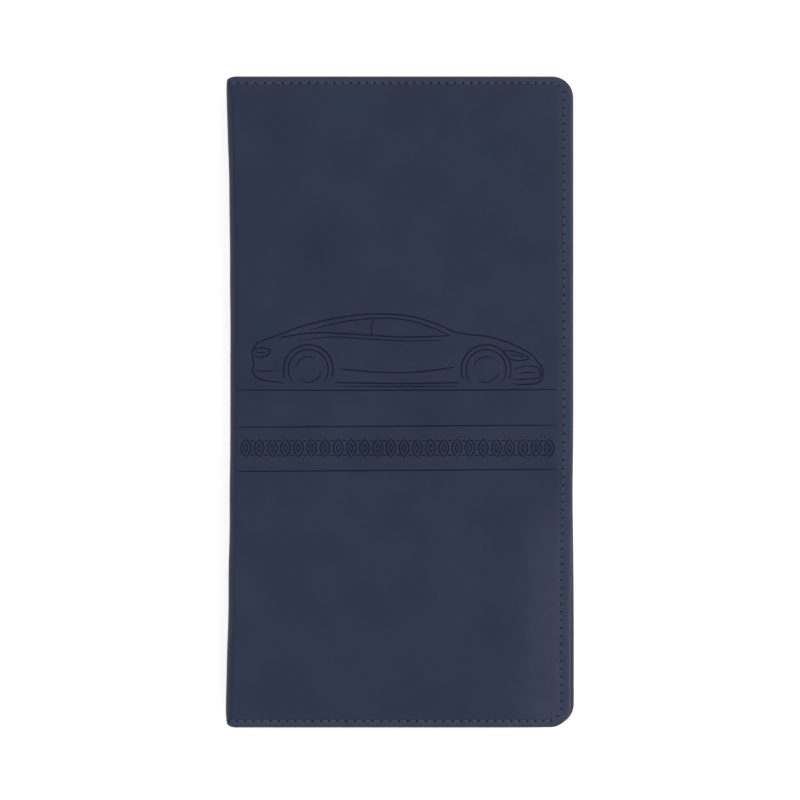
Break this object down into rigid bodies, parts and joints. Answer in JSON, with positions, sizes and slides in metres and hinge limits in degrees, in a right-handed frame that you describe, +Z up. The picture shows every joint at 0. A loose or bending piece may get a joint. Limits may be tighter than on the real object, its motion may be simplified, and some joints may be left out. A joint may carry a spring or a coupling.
{
  "type": "bifold document wallet",
  "caption": "Closed bifold leather wallet for a vehicle's papers, with a blind-embossed front, a folding spine, a document window, card slots, a card window and slip pockets inside.",
  "frame": {"origin": "centre of the closed wallet's underside, on the surface it lies on", "axes": "+X from the spine to the free edge, +Y along the length towards the top of the front cover, +Z up through the thickness; the front cover is on top"},
  "size_m": [0.131, 0.245, 0.0129],
  "materials": {
    "outer_leather": "satin, fine pebble grain",
    "inner_leather": "satin, fine pebble grain",
    "lining_fabric": "plain weave",
    "stiffener_board": "matt",
    "clear_plastic": "clear, glossy",
    "seam_thread": "waxed thread",
    "magnet_steel": "plated"
  },
  "bodies": {
    "back_cover": {"back_outer_leather": "outer_leather", "back_board": "stiffener_board", "back_magnet_upper": "magnet_steel", "back_magnet_lower": "magnet_steel", "back_lining": "lining_fabric", "back_hem_top": "outer_leather", "back_hem_side": "outer_leather", "back_hem_bottom": "outer_leather", "back_slip_pocket_panel": "inner_leather", "back_seam_thread": "seam_thread", "document_window_sheet": "clear_plastic", "document_window_frame": "inner_leather"},
    "spine": {"spine_outer_leather": "outer_leather", "spine_lining": "lining_fabric", "spine_hem_top": "outer_leather", "spine_hem_bottom": "outer_leather", "spine_seam_thread_top": "seam_thread", "spine_seam_thread_bottom": "seam_thread"},
    "front_cover": {"front_outer_leather": "outer_leather", "front_board": "stiffener_board", "front_magnet_upper": "magnet_steel", "front_magnet_lower": "magnet_steel", "front_lining": "lining_fabric", "front_hem_top": "outer_leather", "front_hem_side": "outer_leather", "front_hem_bottom": "outer_leather", "front_slip_pocket_panel": "inner_leather", "front_seam_thread": "seam_thread", "card_slot_panel_1": "inner_leather", "card_slot_base_1": "lining_fabric", "card_slot_panel_2": "inner_leather", "card_slot_base_2": "lining_fabric", "card_slot_panel_3": "inner_leather", "card_slot_base_3": "lining_fabric", "card_section_binding": "inner_leather", "card_window_sheet": "clear_plastic", "card_window_frame": "inner_leather"}
  },
  "joints": [
    {"name": "spine_fold", "type": "hinge", "parent": "back_cover", "child": "spine", "pos_m": [-0.065, 0, 0.0005], "axis": [0, -1, 0], "range_deg": [0, 90]},
    {"name": "cover_fold", "type": "hinge", "parent": "spine", "child": "front_cover", "pos_m": [-0.065, 0, 0.0124], "axis": [0, -1, 0], "range_deg": [0, 90]}
  ],
  "couplings": [
    {"joint": "cover_fold", "follows": "spine_fold", "ratio": 1}
  ]
}
